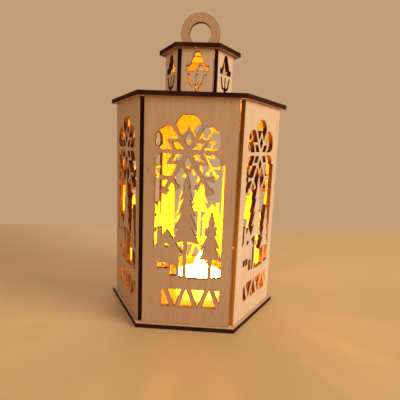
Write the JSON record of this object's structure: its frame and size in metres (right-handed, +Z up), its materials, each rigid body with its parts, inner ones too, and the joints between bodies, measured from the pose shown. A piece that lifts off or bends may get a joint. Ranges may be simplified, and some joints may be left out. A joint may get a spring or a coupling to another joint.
{
  "type": "christmas lantern",
  "caption": "Hexagonal laser-cut plywood lantern with snowflake fretwork walls, a cupola with a carrying ring, and a battery tea light inside.",
  "frame": {"origin": "middle of the base plate's underside, on the surface the lantern stands on", "axes": "+Z up, the front wall faces -Y, +X to the right seen from the front, the ring lies in the XZ plane"},
  "size_m": [0.1344, 0.1164, 0.2198],
  "materials": {
    "birch_plywood": "bare birch plywood, edges burnt dark brown by the laser",
    "white_plastic": "moulded, fine matt",
    "flame_plastic": "frosted translucent, glows warm white from the LED",
    "led_lens": "clear warm tint, glossy",
    "cell_steel": "nickelled steel can",
    "spring_steel": "plated steel strip",
    "black_plastic": "black, matt"
  },
  "bodies": {
    "shell": {"base_plate": "birch_plywood", "wall_front": "birch_plywood", "wall_front_right": "birch_plywood", "wall_back_right": "birch_plywood", "wall_back": "birch_plywood", "wall_back_left": "birch_plywood", "wall_front_left": "birch_plywood"},
    "lid": {"roof_plate": "birch_plywood", "cupola_front": "birch_plywood", "cupola_front_right": "birch_plywood", "cupola_back_right": "birch_plywood", "cupola_back": "birch_plywood", "cupola_back_left": "birch_plywood", "cupola_front_left": "birch_plywood", "cupola_cap": "birch_plywood", "carrying_ring": "birch_plywood"},
    "tealight": {"tealight_housing": "white_plastic", "tealight_flame": "flame_plastic", "tealight_base": "white_plastic", "battery_door": "white_plastic", "battery_door_screw": "spring_steel", "coin_cell": "cell_steel", "contact_negative": "spring_steel", "contact_positive": "spring_steel", "led": "led_lens", "switch_case": "spring_steel"},
    "switch": {"switch_slider": "black_plastic"}
  },
  "joints": [
    {"name": "lid_lift", "type": "slide", "parent": "shell", "child": "lid", "axis": [0, 0, 1], "range_m": [0, 0.08]},
    {"name": "tealight_lift", "type": "slide", "parent": "shell", "child": "tealight", "axis": [0, 0, 1], "range_m": [0, 0.11]},
    {"name": "switch_slide", "type": "slide", "parent": "tealight", "child": "switch", "axis": [-1, 0, 0], "range_m": [0, 0.002]}
  ]
}
